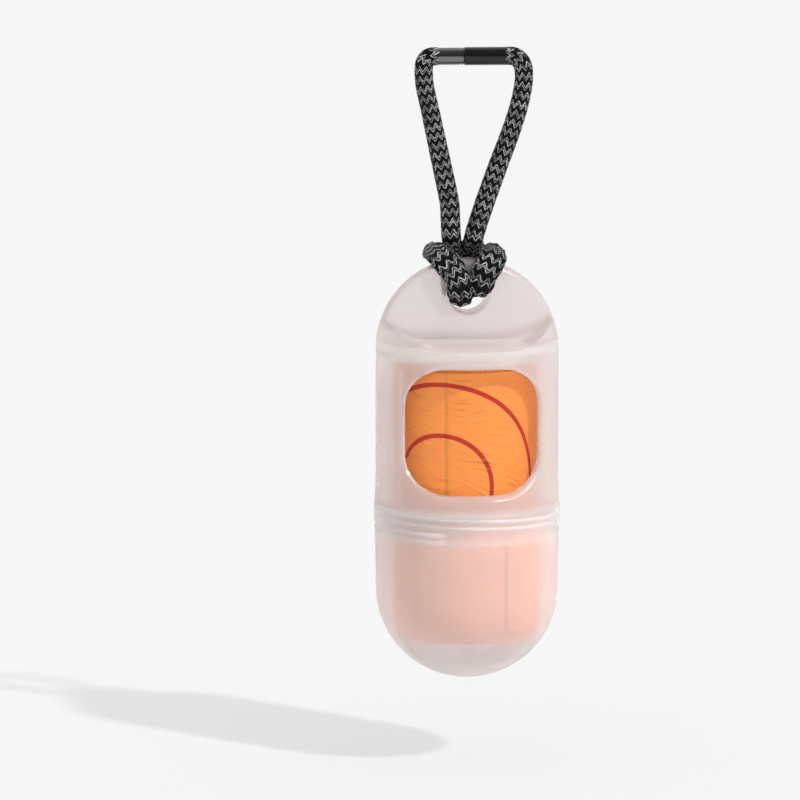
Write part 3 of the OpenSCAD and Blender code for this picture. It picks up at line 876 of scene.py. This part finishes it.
# Each kind of crease: noise cells in a metre round the roll and up it, a slant, a
# place in the noise, and cells in a metre of the patches that hold it.
CREASES = [
    (34, 640, 0.10, 3.1, 161),
    (60, 520, 0.50, 7.7, 207),
    (40, 420, -0.35, 5.3, 183),
]
CREASE_DEPTH = 0.0007
CREASE_SHARPNESS = 7
CREASE_RARITY = 4


def film_radius(around, height):
    """Distance of the film from the roll's axis: wrinkles run mostly round it."""
    radius = FILM_RADIUS
    for along, lean, up, place, depth in FILM_WAVES:
        radius += noise.noise(Vector((around * along + height * lean, height * up, place))) * depth
    return radius - FOLD_DEPTH * math.exp(-((around - FOLD_PLACE) / FOLD_SPREAD) ** 2)


def film_sheet(name):
    """A closed sheet wrapped round the roll, laid out flat in its UV map."""
    points, faces, flat = [], [], []
    for inset in (0, FILM_THICK):
        for row in range(FILM_ROWS + 1):
            height = FILM_LOW + (FILM_HIGH - FILM_LOW) * row / FILM_ROWS
            for column in range(FILM_COLUMNS + 1):
                angle = FILM_WRAP * (column / FILM_COLUMNS - 0.5)
                around = angle * FILM_RADIUS
                radius = film_radius(around, height) - inset
                points.append((radius * math.sin(angle), -radius * math.cos(angle), height))
                flat.append((around, height))
    wide = FILM_COLUMNS + 1
    layer = wide * (FILM_ROWS + 1)
    for row in range(FILM_ROWS):
        for column in range(FILM_COLUMNS):
            a = row * wide + column
            faces.append((a, a + 1, a + wide + 1, a + wide))
            faces.append((a + layer, a + wide + layer, a + wide + 1 + layer, a + 1 + layer))
    for column in range(FILM_COLUMNS):
        a, b = column, FILM_ROWS * wide + column
        faces.append((a + layer, a + 1 + layer, a + 1, a))
        faces.append((b, b + 1, b + 1 + layer, b + layer))
    for row in range(FILM_ROWS):
        a, b = row * wide, row * wide + FILM_COLUMNS
        faces.append((a, a + wide, a + wide + layer, a + layer))
        faces.append((b, b + layer, b + wide + layer, b + wide))
    mesh = bpy.data.meshes.new(name)
    mesh.from_pydata(points, [], faces)
    layout = mesh.uv_layers.new(name="film")
    layout.data.foreach_set("uv", [v for loop in mesh.loops for v in flat[loop.vertex_index]])
    for polygon in mesh.polygons:
        polygon.use_smooth = True
    return mesh


def arches(calc, around, up):
    """One on the printed arches, and nought beside them."""
    across = calc("WRAP", calc("SUBTRACT", around, ARCH_CENTRE[0]), ARCH_PITCH / 2, -ARCH_PITCH / 2)
    above = calc("SUBTRACT", up, ARCH_CENTRE[1])
    reach = calc("SQRT", calc("ADD", calc("POWER", across, 2), calc("POWER", above, 2)))
    bands = [
        calc("LESS_THAN", calc("ABSOLUTE", calc("SUBTRACT", reach, radius)), ARCH_WIDTH / 2)
        for radius in ARCH_RADII
    ]
    return calc("MULTIPLY", calc("MAXIMUM", *bands), calc("GREATER_THAN", above, -ARCH_LEG))


def fold_shade(calc, around):
    """How far painted shade darkens the film along its pressed fold."""
    beside = calc("DIVIDE", calc("SUBTRACT", around, FOLD_PLACE), FOLD_SHADE_WIDTH)
    pressed = calc("POWER", math.e, calc("MULTIPLY", calc("POWER", beside, 2), -1))
    return calc("MULTIPLY", pressed, FOLD_SHADE_SHARE)


def edge_lines(calc, around, up):
    """One on the edges of film that show as lines through the lower plastic."""
    lines = []
    for place, top in EDGE_LINES:
        beside = calc("ABSOLUTE", calc("SUBTRACT", around, place))
        near, below = calc("LESS_THAN", beside, EDGE_HALF_WIDTH), calc("LESS_THAN", up, top)
        lines.append(calc("MULTIPLY", near, below))
    return calc("MAXIMUM", *lines)


def creases(nodes, links, calc, unrolled, around, up):
    """The height of sharp ridges in stretched noise, kept to a few patches."""
    relief = 0
    for fast_round, fast_up, slant, place, patches in CREASES:
        spot = nodes.new("ShaderNodeCombineXYZ")
        lifted = calc("ADD", up, calc("MULTIPLY", around, slant))
        links.new(calc("MULTIPLY", around, fast_round), spot.inputs["X"])
        links.new(calc("MULTIPLY", lifted, fast_up), spot.inputs["Y"])
        spot.inputs["Z"].default_value = place
        wrinkle = nodes.new("ShaderNodeTexNoise")
        wrinkle.inputs["Scale"].default_value = 1
        wrinkle.inputs["Detail"].default_value = 1
        links.new(spot.outputs[0], wrinkle.inputs["Vector"])
        patch = nodes.new("ShaderNodeTexNoise")
        patch.inputs["Scale"].default_value = patches
        patch.inputs["Detail"].default_value = 0
        links.new(unrolled, patch.inputs["Vector"])
        ridge = calc("ABSOLUTE", calc("MULTIPLY_ADD", wrinkle.outputs["Fac"], 2, -1))
        ridge = calc("POWER", calc("SUBTRACT", 1, ridge), CREASE_SHARPNESS)
        few = calc("POWER", patch.outputs["Fac"], CREASE_RARITY)
        relief = calc("ADD", relief, calc("MULTIPLY", ridge, few))
    return relief


def printed_film(name):
    """Orange film with its print, painted shade along its fold, its edges and its creases."""
    material, nodes, links = new_material(name)
    calc = calculator(material.node_tree)
    shader = nodes["Principled BSDF"]
    shader.inputs["Roughness"].default_value = 0.38
    layout = nodes.new("ShaderNodeUVMap")
    layout.uv_map = "film"
    unrolled = layout.outputs["UV"]
    split = nodes.new("ShaderNodeSeparateXYZ")
    links.new(unrolled, split.inputs[0])
    around, up = split.outputs["X"], split.outputs["Y"]
    paint = nodes.new("ShaderNodeMix")
    paint.data_type = "RGBA"
    paint.inputs["A"].default_value = (*FILM_COLOUR, 1)
    paint.inputs["B"].default_value = PRINT_COLOUR
    links.new(arches(calc, around, up), paint.inputs["Factor"])
    # Painted shade darkens the film along its fold.
    fold_shaded = tinted(nodes, links, paint.outputs["Result"], FOLD_SHADE_TINT, fold_shade(calc, around))
    edged = tinted(nodes, links, fold_shaded, EDGE_TINT, edge_lines(calc, around, up))
    links.new(edged, shader.inputs["Base Color"])
    relief = creases(nodes, links, calc, unrolled, around, up)
    bumped(nodes, links, shader, relief, 1, CREASE_DEPTH)
    return material


first_bag = put("first_bag", film_sheet("first_bag"))
first_bag.data.materials.append(printed_film("printed_film"))
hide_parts("loose_bag")
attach(first_bag, "loose_bag")


# ---------------------------------------------------------------- clasp
# Two turned barrels: a gunmetal one with a grooved collar and a black one. Both
# are glossy, with fine marks round their axis that break up the reflections.


def turned_metal(name, colour, rough, metallic):
    """Plated metal with faint turning marks round its axis."""
    material, nodes, links = new_material(name)
    shader = nodes["Principled BSDF"]
    shader.inputs["Base Color"].default_value = (*colour, 1)
    shader.inputs["Metallic"].default_value = metallic
    place = nodes.new("ShaderNodeTexCoord")
    stretch = nodes.new("ShaderNodeMapping")
    stretch.inputs["Scale"].default_value = (9000, 300, 300)
    marks = nodes.new("ShaderNodeTexNoise")
    marks.inputs["Scale"].default_value = 1
    marks.inputs["Detail"].default_value = 3
    gloss = nodes.new("ShaderNodeMapRange")
    gloss.inputs["To Min"].default_value = rough * 0.75
    gloss.inputs["To Max"].default_value = rough * 1.25
    links.new(place.outputs["Object"], stretch.inputs["Vector"])
    links.new(stretch.outputs[0], marks.inputs["Vector"])
    links.new(marks.outputs["Fac"], gloss.inputs["Value"])
    links.new(gloss.outputs["Result"], shader.inputs["Roughness"])
    bumped(nodes, links, shader, marks.outputs["Fac"], 0.25, 0.000004)
    return material


stud_half = smooth_copy("clasp_stud_half", "clasp_stud_barrel")
stud_half.data.materials.append(turned_metal("gunmetal", (0.20, 0.20, 0.205), 0.22, 1.0))
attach(stud_half, "loop")
socket_half = smooth_copy("clasp_socket_half", "clasp_socket_barrel")
socket_half.data.materials.append(turned_metal("black_enamel", (0.004, 0.004, 0.005), 0.24, 0.0))
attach(socket_half, "clasp_half")
